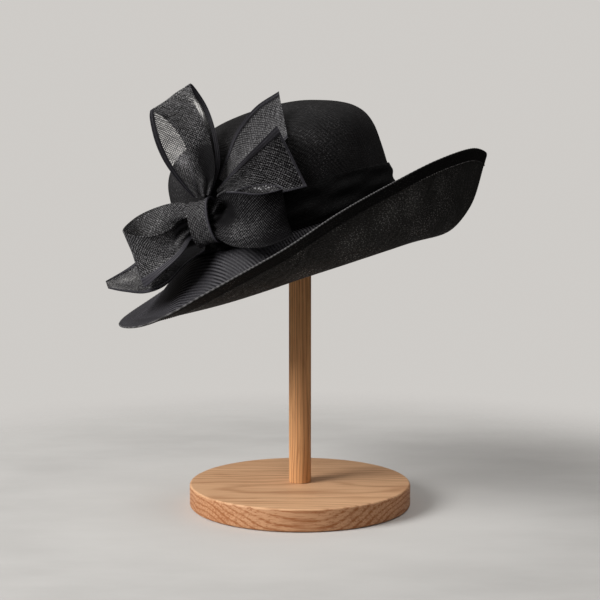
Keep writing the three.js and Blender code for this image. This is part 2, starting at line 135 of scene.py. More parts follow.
FRONT_TAIL = [
    (-69, -78.5, 288, -69, -78.5, 279, 0), (-60, -83.5, 298, -56, -84.5, 278, 1),
    (-45, -88.5, 314, -33, -89, 281, 1), (-30, -89.5, 329, -10, -90, 286, 1),
    (-19, -87.5, 340, 6, -90.5, 290, 0),
]
BACK_TAIL = [
    (-68, -75.5, 296, -60, -80.5, 292, 0), (-61, -76.5, 315, -44, -84.5, 302, 1),
    (-53, -74.5, 335, -30, -85, 312, 1), (-38, -66.5, 355, -18, -83.5, 322, 2),
    (-18, -52.5, 369, -10, -81.5, 330, 1),
]
LOWER_TAIL = [
    (-80, -62, 242, -80, -74, 236, 0), (-98, -43, 243, -97, -75, 224, -2),
    (-116, -30, 239, -114, -71, 206, -4), (-134, -24, 229, -132, -64, 199, -5),
    (-152, -26, 216, -150, -54, 199, -3), (-169, -36, 206, -166, -44, 201, 0),
]
KNOT_CENTRE = np.array([-79.0, -78.0, 260.0])
KNOT_HEIGHT = 36
KNOT_DEPTH = 17
KNOT_WIDTH = 21
KNOT_TURN = math.radians(-32)
KNOT_LEAN = math.radians(15)
KNOT_FLARE = 1.5
KNOT_SIDES = 96
KNOT_WALL = 0.8
KNOT_HEM_WALL = 1.2

# The stand, whose post starts a little above its base
BASE_RADIUS = 100
BASE_THICKNESS = 20
BASE_ROUND = 2
POST_RADIUS = 10
POST_TOP = 337.4
POST_GAP = 0.3
BASE_SIDES = 192
POST_SIDES = 64

# The camera, as it stood for the photograph
CAMERA_PLACE = (0, -1.263, 0.3231)
CAMERA_DOWN = math.radians(6.2)
CAMERA_LENS = 85
SENSOR_WIDTH = 36

# The floor: a disc in metres, between which distances it gives way to the backdrop, and
# between which it loses the paler tone of its middle, a painted light that lifts the shade
# the hat casts round the stand
FLOOR_RADIUS = 1.2
FLOOR_DROP = 0.0004
FLOOR_FADE = (0.27, 0.62)
FLOOR_PAINTED_LIGHT = (0.11, 0.30)

# The backdrop: its tone as light and as seen, how much of it reaches the object as light from
# the side and from above, and the heights between which that changes
BACKDROP_GLOW = (0.62, 0.58, 0.54, 1)
BACKDROP_SEEN = (0.62, 0.60, 0.575, 1)
BACKDROP_LIGHT = (0.03, 0.55)
BACKDROP_RISE = (0.05, 0.85)

# The two lamps
KEY_AWAY = 2.2
KEY_TURN = math.radians(-62)
KEY_HEIGHT = math.radians(29)
KEY_TARGET = (0, 0, 0.15)
KEY_SIZE = 1.15
KEY_WATTS = 56
KEY_COLOUR = (1.0, 0.985, 0.965)
TOP_PLACE = (0.3, 0.1, 1.9)
TOP_TARGET = (0, 0, 0.3)
TOP_SIZE = 2.0
TOP_WATTS = 14


def hat_point(p):
    """A point of the hat's frame, in the stand's frame, both in mm; p may be an array."""
    p = np.asarray(p, float)
    c, s = math.cos(HAT_TILT), math.sin(HAT_TILT)
    u, v, w = p[..., 0], p[..., 1], p[..., 2]
    return np.stack([c * u - s * w, v, s * u + c * w], axis=-1) + HAT_ORIGIN


def spline(points, count):
    """Centripetal Catmull-Rom through points, sampled evenly by station, count per span."""
    p = np.asarray(points, float)
    p = np.vstack([2 * p[0] - p[1], p, 2 * p[-1] - p[-2]])
    out = []
    for k in range(1, len(p) - 2):
        a, b, c, d = p[k - 1:k + 3]
        gap = [max(np.linalg.norm(y - x), 1e-6) ** 0.5 for x, y in ((a, b), (b, c), (c, d))]
        leave = (b - a) / gap[0] - (c - a) / (gap[0] + gap[1]) + (c - b) / gap[1]
        arrive = (c - b) / gap[1] - (d - b) / (gap[1] + gap[2]) + (d - c) / gap[2]
        t = np.linspace(0, 1, count, endpoint=k == len(p) - 3)[:, None]
        out.append(
            (2 * t**3 - 3 * t**2 + 1) * b + (t**3 - 2 * t**2 + t) * leave * gap[1]
            + (3 * t**2 - 2 * t**3) * c + (t**3 - t**2) * arrive * gap[1]
        )
    return np.vstack(out)


def around(rows, column, angle):
    """A smooth value at any angle from a table whose rows go once round."""
    keys = [r[0] for r in rows]
    at = angle % 360
    first = max(k for k, key in enumerate(keys) if key <= at)
    pick = lambda k: rows[k % len(rows)]
    span = lambda k: (pick(k + 1)[0] - pick(k)[0]) % 360
    slope = lambda k: (pick(k + 1)[column] - pick(k - 1)[column]) / (span(k - 1) + span(k))
    t = (at - keys[first]) / span(first)
    leave, arrive = slope(first) * span(first), slope(first + 1) * span(first)
    return (
        (2 * t**3 - 3 * t**2 + 1) * pick(first)[column] + (t**3 - 2 * t**2 + t) * leave
        + (3 * t**2 - 2 * t**3) * pick(first + 1)[column] + (t**3 - t**2) * arrive
    )


def run_along(points):
    """How far along a line each of its points lies."""
    steps = np.linalg.norm(np.diff(points, axis=0), axis=1)
    return np.concatenate([[0], np.cumsum(steps)])


def link_piece(name, mesh):
    """A new object of the scene that shows a mesh."""
    piece = bpy.data.objects.new(name, mesh)
    bpy.context.scene.collection.objects.link(piece)
    return piece


def plain_piece(name, verts, faces, material, smooth=True, crease=None):
    """An object of one material, with its corners in metres."""
    mesh = bpy.data.meshes.new(name)
    mesh.from_pydata([tuple(v) for v in verts], [], faces)
    mesh.materials.append(material)
    if smooth:
        mesh.polygons.foreach_set("use_smooth", [True] * len(faces))
    if crease:
        mesh.set_sharp_from_angle(angle=crease)
    return link_piece(name, mesh)


def grid_normals(p, closed):
    """Unit normals of a grid of points; closed says that the last column repeats the first."""
    down = np.gradient(p, axis=0)
    if closed:
        ring = p[:, :-1]
        across = (np.roll(ring, -1, axis=1) - np.roll(ring, 1, axis=1)) / 2
        across = np.concatenate([across, across[:, :1]], axis=1)
    else:
        across = np.gradient(p, axis=1)
    n = np.cross(across, down)
    return n / np.maximum(np.linalg.norm(n, axis=-1, keepdims=True), 1e-9)


def shell(name, p, uv, thickness, closed=False, cap=False, kind=None, materials=()):
    """A closed thin body about a grid of middle points in mm.

    thickness is one number or one per point. closed says that the last column repeats the
    first, and cap that the last row is a small ring to be filled. kind gives the material
    number of a face from its row, its column and whether it is on the back.
    """
    rows, columns = p.shape[:2]
    half = np.broadcast_to(np.asarray(thickness, float), (rows, columns))[..., None] / 2
    n = grid_normals(p, closed)
    width = columns - 1 if closed else columns
    sides = [(p + n * half)[:, :width], (p - n * half)[:, :width]]
    verts = np.concatenate([s.reshape(-1, 3) for s in sides]) * MM
    back = rows * width
    faces, corners, kinds = [], [], []
    kind = kind or (lambda i, j, behind: 0)

    def add(face, at, number):
        faces.append(face)
        corners.extend(at)
        kinds.append(number)

    def index(i, j):
        return i * width + (j % width if closed else j)

    for i in range(rows - 1):
        for j in range(columns - 1):
            at = [(i, j), (i, j + 1), (i + 1, j + 1), (i + 1, j)]
            face = [index(*k) for k in at]
            add(face, at, kind(i, j, False))
            add([back + f for f in reversed(face)], list(reversed(at)), kind(i, j, True))
    for j in range(columns - 1):
        ends = [(0, True)] if cap else [(0, True), (rows - 1, False)]
        for i, first in ends:
            a, b = index(i, j), index(i, j + 1)
            at = [(i, j + 1), (i, j), (i, j), (i, j + 1)]
            face = [b, a, back + a, back + b]
            add(face if first else face[::-1], at if first else at[::-1],
                kind(min(i, rows - 2), j, False))
    if cap:
        ring = [(rows - 1, j) for j in range(width)]
        add([index(*k) for k in ring], ring, 0)
        add([back + index(*k) for k in reversed(ring)], list(reversed(ring)), 0)
    if not closed:
        for i in range(rows - 1):
            for j, first in ((0, True), (columns - 1, False)):
                a, b = index(i, j), index(i + 1, j)
                at = [(i, j), (i + 1, j), (i + 1, j), (i, j)]
                face = [a, b, back + b, back + a]
                add(face if first else face[::-1], at if first else at[::-1],
                    kind(i, min(j, columns - 2), False))
    mesh = bpy.data.meshes.new(name)
    mesh.from_pydata(verts.tolist(), [], faces)
    for material in materials:
        mesh.materials.append(material)
    mesh.polygons.foreach_set("material_index", kinds)
    layer = mesh.uv_layers.new(name="UVMap")
    at = np.array(corners)
    layer.data.foreach_set("uv", uv[at[:, 0], at[:, 1]].astype(np.float32).ravel())
    mesh.polygons.foreach_set("use_smooth", [True] * len(faces))
    mesh.set_sharp_from_angle(angle=CLOTH_CREASE)
    mesh.update()
    return link_piece(name, mesh)


class Nodes:
    """Short calls for building a material's nodes."""

    def __init__(self, name):
        self.material = bpy.data.materials.new(name)
        self.material.use_nodes = True
        self.tree = self.material.node_tree
        self.shader = self.tree.nodes["Principled BSDF"]

    def link(self, socket, value):
        if isinstance(value, bpy.types.NodeSocket):
            self.tree.links.new(value, socket)
        else:
            socket.default_value = value

    def new(self, kind, **settings):
        node = self.tree.nodes.new(kind)
        for key, value in settings.items():
            setattr(node, key, value)
        return node

    def math(self, operation, a, b=0.0, c=0.0, clamp=False):
        node = self.new("ShaderNodeMath", operation=operation, use_clamp=clamp)
        for socket, value in zip(node.inputs, (a, b, c)):
            self.link(socket, value)
        return node.outputs[0]

    def add(self, a, b):
        if isinstance(a, float) and isinstance(b, float):
            return a + b
        return self.math("ADD", a, b)

    def times(self, a, b):
        if isinstance(a, float) and isinstance(b, float):
            return a * b
        return self.math("MULTIPLY", a, b)

    def band(self, value, low, high, out_low=0.0, out_high=1.0):
        """Smoothly from out_low at low to out_high at high."""
        node = self.new("ShaderNodeMapRange", interpolation_type="SMOOTHSTEP")
        for k, v in enumerate((value, low, high, out_low, out_high)):
            self.link(node.inputs[k], v)
        return node.outputs[0]

    def wave(self, phase):
        """0 to 1, once a unit of phase."""
        sine = self.math("SINE", self.times(phase, 2 * math.pi))
        return self.math("MULTIPLY_ADD", sine, 0.5, 0.5)

    def noise(self, vector, scale, detail=2.0, rough=0.5):
        node = self.new("ShaderNodeTexNoise")
        self.link(node.inputs["Vector"], vector)
        self.link(node.inputs["Scale"], scale)
        self.link(node.inputs["Detail"], detail)
        self.link(node.inputs["Roughness"], rough)
        return node.outputs["Fac"]

    def mapped(self, vector, scale=(1, 1, 1), turn=(0, 0, 0), move=(0, 0, 0)):
        node = self.new("ShaderNodeMapping")
        self.link(node.inputs["Vector"], vector)
        self.link(node.inputs["Location"], move)
        self.link(node.inputs["Rotation"], turn)
        self.link(node.inputs["Scale"], scale)
        return node.outputs[0]

    def near(self, uv, places):
        """How near a point of the cloth is to any of the places, from 0 to their last column."""
        u, v, _ = self.split(uv)
        most = 0.0
        for at_u, at_v, reach_u, reach_v, depth in places:
            du = self.math("POWER", self.times(self.math("SUBTRACT", u, at_u), 1 / reach_u), 2.0)
            dv = self.math("POWER", self.times(self.math("SUBTRACT", v, at_v), 1 / reach_v), 2.0)
            near = self.math("EXPONENT", self.times(self.add(du, dv), -1.0))
            most = self.math("MAXIMUM", most, self.times(near, depth))
        return most

    def split(self, vector):
        node = self.new("ShaderNodeSeparateXYZ")
        self.link(node.inputs[0], vector)
        return node.outputs

    def mix(self, share, a, b):
        node = self.new("ShaderNodeMix", data_type="RGBA")
        self.link(node.inputs["Factor"], share)
        self.link(node.inputs["A"], (*a, 1) if isinstance(a, tuple) else a)
        self.link(node.inputs["B"], (*b, 1) if isinstance(b, tuple) else b)
        return node.outputs["Result"]

    def bump(self, height, distance, strength=1.0):
        node = self.new("ShaderNodeBump")
        self.link(node.inputs["Height"], height)
        node.inputs["Distance"].default_value = distance
        node.inputs["Strength"].default_value = strength
        self.link(self.shader.inputs["Normal"], node.outputs[0])


# The least light that the cloth keeps under painted shade, how strongly strong painted highlights
# rise above the pale tone and between which depths that sets in, and the half width in mm of a
# change of openness
PAINTED_SHADE_LEAST_LIGHT = 0.04
PAINTED_GLEAM = 3.2
PAINTED_GLEAM_FROM = (1.0, 5.0)
OPEN_BLUR = 8


def sinamay(name, dark, pale, level=0.25, weave=0.5, pitch=1.5, turn=40.0, ribs=(0.0, 0.28),
            centre=None, rib=0.4, wobble=0.8, fleck=0.6, patch=(0.35, 0.65), open_share=0.0,
            open_later=None, shades=(), glints=(), windows=(), gloss=0.5, rough=0.45, drift=7.0):
    """Woven stiffened fibre. UVs are in mm, and dark and pale are the ends of its tones.

    level is the mean share of pale, and weave, rib and fleck are how strongly the threads, the
    moire bands and the bright fibres show. ribs are bands per mm along each way of the cloth,
    or round a centre in the cloth when one is given. Flecks gather in patches. open_share is
    how much shows through, and open_later is (place along, share) where that changes. Places
    of painted shade, as (along, across, reach along, reach across, depth), are darkened and
    made less sheer where shade falls in folds and hollows. Places of painted highlight, with
    the same columns, are made paler and more speckled, and windows, with the same columns
    again, are places that are sheer. drift is how far in mm the threads wander.
    """
    n = Nodes(name)
    uv = n.new("ShaderNodeUVMap", uv_map="UVMap").outputs[0]
    cloth = n.mapped(uv, turn=(0, 0, math.radians(turn)))
    shift = n.times(n.noise(cloth, 0.03, 3.0), drift)
    x, y, _ = n.split(cloth)
    slub = n.noise(n.mapped(cloth, scale=(0.9, 0.08, 1)), 1.0, 1.0)
    slub2 = n.noise(n.mapped(cloth, scale=(0.08, 0.9, 1)), 1.0, 1.0)
    warp = n.wave(n.times(n.add(n.add(x, shift), n.times(slub, 1.2)), 1 / pitch))
    weft = n.wave(n.times(n.add(n.add(y, shift), n.times(slub2, 1.2)), 1 / pitch))
    cross = n.band(n.times(warp, weft), 0.12, 0.62)
    cover = n.band(n.math("MAXIMUM", warp, weft), 0.45, 0.85)
    if centre:
        apart = n.new("ShaderNodeVectorMath", operation="DISTANCE")
        n.link(apart.inputs[0], uv)
        apart.inputs[1].default_value = (*centre, 0)
        phase = n.times(apart.outputs["Value"], ribs[1])
    else:
        u, v, _ = n.split(uv)
        phase = n.add(n.times(u, ribs[0]), n.times(v, ribs[1]))
    phase = n.add(phase, n.times(n.noise(uv, 0.022, 2.0), 6 * wobble))
    bands = n.band(n.wave(phase), 0.15, 0.85)
    where = n.band(n.noise(n.mapped(uv, move=(40, 7, 0)), 0.028, 2.0), 0.38, 0.6, 0.3, 1.0)
    bands = n.times(n.math("SUBTRACT", bands, 0.5), n.times(where, rib))
    spots = n.band(n.noise(n.mapped(cloth, scale=(0.82, 0.5, 1)), 1.0, 1.0), 0.54, 0.72)
    gather = n.band(n.noise(n.mapped(uv, move=(11, 90, 0)), 0.02, 2.0), *patch, 0.12, 1.0)
    # Painted highlights: near each place of painted highlight the cloth is paler and more speckled
    painted_shine = n.near(uv, glints)
    spots = n.times(n.times(spots, n.math("MAXIMUM", gather, painted_shine)), fleck * 2)
    threads = n.times(n.math("SUBTRACT", n.add(cross, n.times(slub, 0.6)), 0.6), weave)
    light = n.add(n.add(threads, bands), n.add(spots, n.add(n.times(painted_shine, 0.1), level)))
    light = n.math("MAXIMUM", light, 0.0)
    # Painted shade: near each place of painted shade the cloth is darker and lets less through;
    # thin is the share of light and openness kept
    thin = n.math("MAXIMUM", n.math("SUBTRACT", 1.0, n.near(uv, shades)), PAINTED_SHADE_LEAST_LIGHT)
    light = n.times(light, thin)
    tone = n.mix(light, dark, pale)
    # Strong painted highlights lift the tone above the pale tone
    if glints:
        painted_gleam = n.times(n.band(painted_shine, *PAINTED_GLEAM_FROM), n.band(light, 0.5, 1.6))
        tone = n.mix(painted_gleam, tone, tuple(c * PAINTED_GLEAM for c in pale))
    n.link(n.shader.inputs["Base Color"], tone)
    n.link(n.shader.inputs["Roughness"], n.band(light, 0.0, 1.0, rough + 0.2, rough))
    n.link(n.shader.inputs["Specular IOR Level"], n.band(light, 0.0, 1.0, 0.1 * gloss, gloss))
    height = n.add(n.times(cross, 0.6), n.times(bands, 1.2))
    n.bump(height, 0.0002)
    if open_share > 0:
        share = 1 - open_share
        if open_later:
            along, _, _ = n.split(uv)
            place, later = open_later
            share = n.band(along, place - OPEN_BLUR, place + OPEN_BLUR, share, 1 - later)
        sheer = n.near(uv, windows)
        cover = n.times(cover, n.math("SUBTRACT", 1.0, n.times(sheer, 0.25), clamp=True))
        hole = n.math("SUBTRACT", 1.0, n.add(cover, n.times(bands, 0.4)), clamp=True)
        hole = n.times(n.times(hole, n.math("SUBTRACT", 1.0, share)), 2.0)
        hole = n.times(hole, n.times(thin, n.add(sheer, 1.0)))
        n.link(n.shader.inputs["Alpha"], n.math("SUBTRACT", 1.0, hole, clamp=True))
    return n.material


def oak(name, along, light, dark, side=0.0):
    """Light oak between two tones; along is the axis that the grain runs along, X or Z.

    side is how much darker the wood is below the height where a disc's top face ends.
    """
    n = Nodes(name)
    place = n.new("ShaderNodeTexCoord").outputs["Object"]
    turn = (0, math.radians(90), 0) if along == "Z" else (0, 0, 0)
    grain = n.mapped(place, scale=(1000, 1000, 1000), turn=turn, move=(0, 31, 64))
    bend = n.noise(n.mapped(grain, scale=(0.006, 0.02, 0.02)), 1.0, 2.0)
    _, y, z = n.split(grain)
    away = n.math("SQRT", n.add(n.math("POWER", y, 2.0), n.math("POWER", z, 2.0)))
    rings = n.add(n.times(away, 0.20 if along == "X" else 0.42), n.times(bend, 5.0))
    ring = n.math("POWER", n.wave(rings), 3.0)
    fibre = n.noise(n.mapped(grain, scale=(0.011, 0.62, 0.62)), 1.0, 4.0, 0.62)
    fibre = n.band(fibre, 0.36, 0.66)
    pores = n.noise(n.mapped(grain, scale=(0.035, 1.5, 1.5)), 1.0, 2.0, 0.5)
    pores = n.band(pores, 0.56, 0.70)
    cloud = n.noise(n.mapped(grain, scale=(0.006, 0.03, 0.03)), 1.0, 2.0)
    share = n.add(n.times(ring, 0.34), n.add(n.times(fibre, 0.36), n.times(pores, 0.36)))
    share = n.math("ADD", share, n.times(n.math("SUBTRACT", cloud, 0.6), 0.7), clamp=True)
    if side:
        _, _, height = n.split(place)
        share = n.math("ADD", share, n.band(height, 0.0182, 0.0198, side, 0.0), clamp=True)
    n.link(n.shader.inputs["Base Color"], n.mix(share, light, dark))
    n.link(n.shader.inputs["Roughness"], n.band(share, 0.0, 1.0, 0.45, 0.6))
    n.shader.inputs["Specular IOR Level"].default_value = 0.25
    n.bump(n.add(n.times(fibre, -0.4), n.times(pores, -0.6)), 0.00012, 0.6)
    return n.material


def lathe(name, profile, sides, material):
    """A turned body about the Z axis from a profile of (radius, height) in mm, capped flat."""
    verts, faces = [], []
    for radius, height in profile:
        for j in range(sides):
            a = 2 * math.pi * j / sides
            verts.append((radius * math.cos(a) * MM, radius * math.sin(a) * MM, height * MM))
    for i in range(len(profile) - 1):
        for j in range(sides):
            k = (j + 1) % sides
            faces.append((i * sides + j, i * sides + k, (i + 1) * sides + k, (i + 1) * sides + j))
    faces.append(tuple(reversed(range(sides))))
    faces.append(tuple((len(profile) - 1) * sides + j for j in range(sides)))
    return plain_piece(name, verts, faces, material, crease=WOOD_CREASE)


def finish_piece(piece, slot, *nodes):
    """Every piece rides on the one body and stands for its nodes; slot is not used."""
    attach(piece, "root")
    if nodes:
        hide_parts(*nodes)
    return piece


def make_crown(material):
    keys = [(reach * CROWN_LONG, height, shift) for reach, height, shift in CROWN_RINGS]
    profile = spline(keys, CROWN_STEPS)
    turns = np.linspace(0, 2 * math.pi, CROWN_SIDES + 1)
    run = run_along(profile[::-1, :2])[::-1]
    out, up, back = profile[:, :1], profile[:, 1:2], profile[:, 2:]
    inset = CROWN_WALL / 2
    u = (out - inset) * np.cos(turns) + back
    v = (out - inset) * CROWN_RATIO * np.sin(turns)
    w = np.broadcast_to(up - inset, u.shape)
    points = hat_point(np.stack([u, v, w], axis=-1))
    uv = np.stack([run[:, None] * np.cos(turns), run[:, None] * np.sin(turns)], axis=-1)
    piece = shell("crown_cloth", points, uv, CROWN_WALL, True, True, materials=[material])
    return finish_piece(piece, "crown_sinamay", "crown")


def crown_out(angle):
    """How far out the crown's foot is towards an angle in degrees."""
    a = math.radians(angle)
    return CROWN_LONG / math.hypot(math.cos(a), math.sin(a) / CROWN_RATIO)


def brim_line(angle):
    """The brim's section towards an angle, as (out, up) points from the collar to the edge."""
    low_out, low_up, edge_out, edge_up = (around(BRIM_ROWS, k, angle) for k in (1, 2, 3, 4))
    foot = crown_out(angle)
    shoulder = np.array([foot + SHOULDER[0], SHOULDER[1]])
    low, edge = np.array([low_out, low_up]), np.array([edge_out, edge_up])
    slope = shoulder + (low - shoulder) * SLOPE_BOW
    flank = low + (edge - low) * FLANK_BOW
    collar = [[foot - COLLAR_INSET, height] for height in COLLAR_HEIGHTS]
    collar.append([foot + COLLAR_TURN[0], COLLAR_TURN[1]])
    return np.vstack([collar, spline([shoulder, slope, low, flank, edge], BRIM_STEPS)])


def make_brim(top, hem, under):
    sections, cloths = [], []
    for angle in np.linspace(0, 360, 361):
        line = brim_line(angle)
        run = run_along(line)
        hem_at = run[-1] - BRIM_HEM
        marks = np.concatenate([
            np.linspace(0, hem_at - 0.5, 60), [hem_at, hem_at + 0.5],
            np.linspace(hem_at + 1.5, run[-1], 7),
        ])
        line = np.stack([np.interp(marks, run, line[:, k]) for k in (0, 1)], axis=-1)
        a = math.radians(angle)
        sections.append([(r * math.cos(a), r * math.sin(a), w) for r, w in line])
        foot = crown_out(angle)
        cloths.append([((foot + m) * math.cos(a), (foot + m) * math.sin(a)) for m in marks])
    points = hat_point(np.array(sections).transpose(1, 0, 2))
    uv = np.array(cloths).transpose(1, 0, 2)
    rows = points.shape[0]
    wall = np.full(rows, BRIM_WALL)
    wall[-8:] = BRIM_WALL + BRIM_HEM_EXTRA
    wall[-1] = BRIM_WALL - 0.1
    side = {True: 0, False: 2}
    piece = shell(
        "brim_cloth", points, uv, wall[:, None], True, materials=[top, hem, under],
        kind=lambda i, j, behind: 1 if not behind and i >= rows - 9 else side[behind],
    )
    return finish_piece(piece, "brim_sinamay", "brim")


def tube(name, path, radius, sides, material):
    """A round cord in mm along a path of points that goes once round."""
    p = np.asarray(path, float)
    step = np.roll(p, -1, axis=0) - np.roll(p, 1, axis=0)
    step /= np.linalg.norm(step, axis=1, keepdims=True)
    side = np.cross(step, [0.0, 0.0, 1.0])
    side /= np.linalg.norm(side, axis=1, keepdims=True)
    other = np.cross(side, step)
    a = 2 * np.pi * np.arange(sides) / sides
    ring = side[:, None] * np.cos(a)[None, :, None] + other[:, None] * np.sin(a)[None, :, None]
    verts = ((p[:, None] + ring * radius) * MM).reshape(-1, 3)
    count = len(p)
    faces = []
    for i in range(count):
        for j in range(sides):
            k, m = (i + 1) % count, (j + 1) % sides
            faces.append((i * sides + j, i * sides + m, k * sides + m, k * sides + j))
    return plain_piece(name, verts, faces, material)


def stitches(name, places, radius, material):
    """Short straight stitches in mm, each between two points."""
    verts, faces = [], []
    for start, end in places:
        along = (end - start) / np.linalg.norm(end - start)
        side = np.cross(along, [0.0, 0.0, 1.0])
        side /= np.linalg.norm(side)
        other = np.cross(side, along)
        first = len(verts)
        for share, size in STITCH_SECTIONS:
            spot = start + (end - start) * share
            for k in range(STITCH_SIDES):
                a = 2 * math.pi * k / STITCH_SIDES
                outward = side * math.cos(a) + other * math.sin(a)
                verts.append((spot + radius * size * outward) * MM)
        last = first + (len(STITCH_SECTIONS) - 1) * STITCH_SIDES
        for ring in range(first, last, STITCH_SIDES):
            for k in range(STITCH_SIDES):
                a, b = ring + k, ring + (k + 1) % STITCH_SIDES
                faces.append((a, b, b + STITCH_SIDES, a + STITCH_SIDES))
        faces.append(tuple(first + k for k in reversed(range(STITCH_SIDES))))
        faces.append(tuple(last + k for k in range(STITCH_SIDES)))
    return plain_piece(name, verts, faces, material, smooth=False)


def make_brim_edge(material, thread):
    """The rolled cord along the brim's edge, and the hem's line of stitches below it."""
    path, under = [], []
    for angle in np.arange(0, 360, 0.5):
        a = math.radians(angle)
        line = brim_line(angle)
        out, up = line[-1]
        wave = CORD_WAVE * math.sin(math.radians(angle) * CORD_WAVES)
        path.append(((out + wave) * math.cos(a), (out + wave) * math.sin(a), up + 0.2 + wave))
        run = run_along(line)
        at = run[-1] - BRIM_HEM + 0.2
        spot = np.array([np.interp(at, run, line[:, k]) for k in (0, 1)])
        ahead = np.array([np.interp(at + 1, run, line[:, k]) for k in (0, 1)]) - spot
        outward = np.array([ahead[1], -ahead[0]]) / np.linalg.norm(ahead)
        spot = spot + outward * (BRIM_WALL / 2 + 0.35)
        under.append((spot[0] * math.cos(a), spot[0] * math.sin(a), spot[1]))
    cord = tube("brim_edge_cord", hat_point(np.array(path)), CORD_RADIUS, 8, material)
    finish_piece(cord, "brim_sinamay")
    line = hat_point(np.array(under))
    run = run_along(line)
    starts = np.arange(0, run[-1] - 3, STITCH_PITCH)
    spot = lambda at: np.array([np.interp(at, run, line[:, k]) for k in range(3)])
    places = [(spot(at), spot(at + STITCH_LENGTH)) for at in starts]
    seam = stitches("brim_hem_stitches", places, STITCH_RADIUS, thread)
    finish_piece(seam, "brim_sinamay")


def make_band(material):
    turns = np.linspace(0, 360, 361)
    points, cloths = [], []
    for share in np.linspace(0, 1, 41):
        line, row = [], []
        for angle in turns:
            a = math.radians(angle)
            top = BAND_TOP + BAND_RISE * (1 + math.cos(math.radians(angle - BAND_RISE_TOWARDS)))
            height = BAND_FOOT + share * (top - BAND_FOOT + 0.6)
            slack = math.sin(math.pi * share) ** 0.4
            lean = BAND_FOLDS * a + share * 2 * math.pi * BAND_TURNS
            fold = 0.5 + 0.4 * math.sin(lean) + 0.2 * math.sin(9 * a - 2 * math.pi * 2.4 * share)
            out = crown_out(angle) + 1.0 + BAND_SLACK * slack * max(fold, 0)
            line.append((out * math.cos(a), out * math.sin(a), height))
            row.append((a * 92, height * 1.6))
        points.append(line)
        cloths.append(row)
    piece = shell("band_cloth", hat_point(np.array(points)), np.array(cloths), BAND_WALL, True,
                  materials=[material])
    return finish_piece(piece, "band_sinamay", "hat_band")


def make_ribbon(name, rows, materials, slot, node, hems=(HEM_WIDTH, HEM_WIDTH), hem_from=(0, 0),
                end_hem=0.0, pleats=(), puffs=(), sway=0.6):
    """A hemmed ribbon through its stations.

    hems are the widths along edges a and b, hem_from the stations where each starts to show,
    and end_hem the width across the cut end. pleats are
    (station, reach, count, depth, phase): folds along the ribbon that fade over reach stations.
    puffs are (station, share across, reach, width, height): dents and swellings.
    """
    rows = np.array(rows, float)
    a, b = spline(rows[:, :3], RIBBON_STEPS), spline(rows[:, 3:6], RIBBON_STEPS)
    station = np.linspace(0, len(rows) - 1, len(a))
    bulge = np.interp(station, np.arange(len(rows)), rows[:, 6])
    wide = np.linalg.norm(b - a, axis=1)
    typical = np.percentile(wide, 80)
    low, high = hems[0] / typical, hems[1] / typical
    across = np.concatenate([
        [0, low * 0.5, low, low + 0.008], np.linspace(low + 0.03, 1 - high - 0.03, 27),
        [1 - high - 0.008, 1 - high, 1 - high * 0.5, 1],
    ])
    middle = a[:, None] + (b - a)[:, None] * across[None, :, None]
    along = np.gradient((a + b) / 2, axis=0)
    off = np.cross(along, b - a)
    off /= np.maximum(np.linalg.norm(off, axis=1, keepdims=True), 1e-9)
    stand = bulge[:, None] * 4 * across * (1 - across)
    for at, reach, count, depth, phase in pleats:
        fade = np.exp(-(((station - at) / reach) ** 2))[:, None]
        drift = 0.1 * (station[:, None] - at)
        fold = np.sin(2 * math.pi * (count * across[None, :] + phase + drift))
        stand = stand + depth * fade * fold * np.sin(math.pi * across) ** 0.5
    for at, share, reach, width, height in puffs:
        near = ((station[:, None] - at) / reach) ** 2 + ((across[None, :] - share) / width) ** 2
        stand = stand + height * np.exp(-near)
    ripple = np.sin(station[:, None] * 2.1 + across * 3.0)
    ripple = ripple * np.sin(station[:, None] * 0.9 + across * 7.0)
    stand = stand + sway * ripple * np.sin(math.pi * np.clip(station / station[-1], 0, 1))[:, None]
    middle = middle + off[:, None] * stand[..., None]
    run = run_along((a + b) / 2)
    uv = np.stack(np.broadcast_arrays(run[:, None], across * typical), axis=-1)
    wall = np.full(len(across), RIBBON_WALL)
    wall[:3] = wall[-3:] = HEM_WALL
    last = len(across) - 4

    def kind(i, j, behind):
        if j < 2:
            return int(station[i] >= hem_from[0])
        if j > last:
            return int(station[i] >= hem_from[1])
        return 2 if run[i] > run[-1] - end_hem else 0

    piece = shell(name, middle, uv, wall[None, :], kind=kind, materials=materials)
    return finish_piece(piece, slot, node)


def make_knot(materials):
    points, cloths = [], []
    turn = np.array([
        [math.cos(KNOT_TURN), -math.sin(KNOT_TURN), 0],
        [math.sin(KNOT_TURN), math.cos(KNOT_TURN), 0],
        [0, 0, 1],
    ])
    lean = np.array([
        [math.cos(KNOT_LEAN), 0, -math.sin(KNOT_LEAN)],
        [0, 1, 0],
        [math.sin(KNOT_LEAN), 0, math.cos(KNOT_LEAN)],
    ])
    hem = np.array([0.76, 0.78, 0.9, 1])
    shares = np.concatenate([-hem[::-1], np.linspace(-0.7, 0.7, 17), hem])
    for share in shares:
        flare = KNOT_FLARE * share * share
        line, row = [], []
        for j in range(KNOT_SIDES + 1):
            a = 2 * math.pi * j / KNOT_SIDES
            crease = 0.5 * math.sin(3 * math.pi * share + 2 * math.sin(a)) * (1 - share * share)
            local = np.array([
                share * KNOT_WIDTH / 2,
                (KNOT_DEPTH / 2 + flare + crease) * math.cos(a),
                (KNOT_HEIGHT / 2 + flare + crease) * math.sin(a),
            ])
            line.append(turn @ lean @ local + KNOT_CENTRE)
            row.append((a * 14, share * KNOT_WIDTH / 2))
        points.append(line)
        cloths.append(row)
    wall = np.full(len(shares), KNOT_WALL)
    wall[:3] = wall[-3:] = KNOT_HEM_WALL
    count = len(shares)
    piece = shell(
        "knot_cloth", np.array(points), np.array(cloths), wall[:, None], True, materials=materials,
        kind=lambda i, j, behind: int(i >= count - 4),
    )
    return finish_piece(piece, "bow_sinamay", "bow_knot")


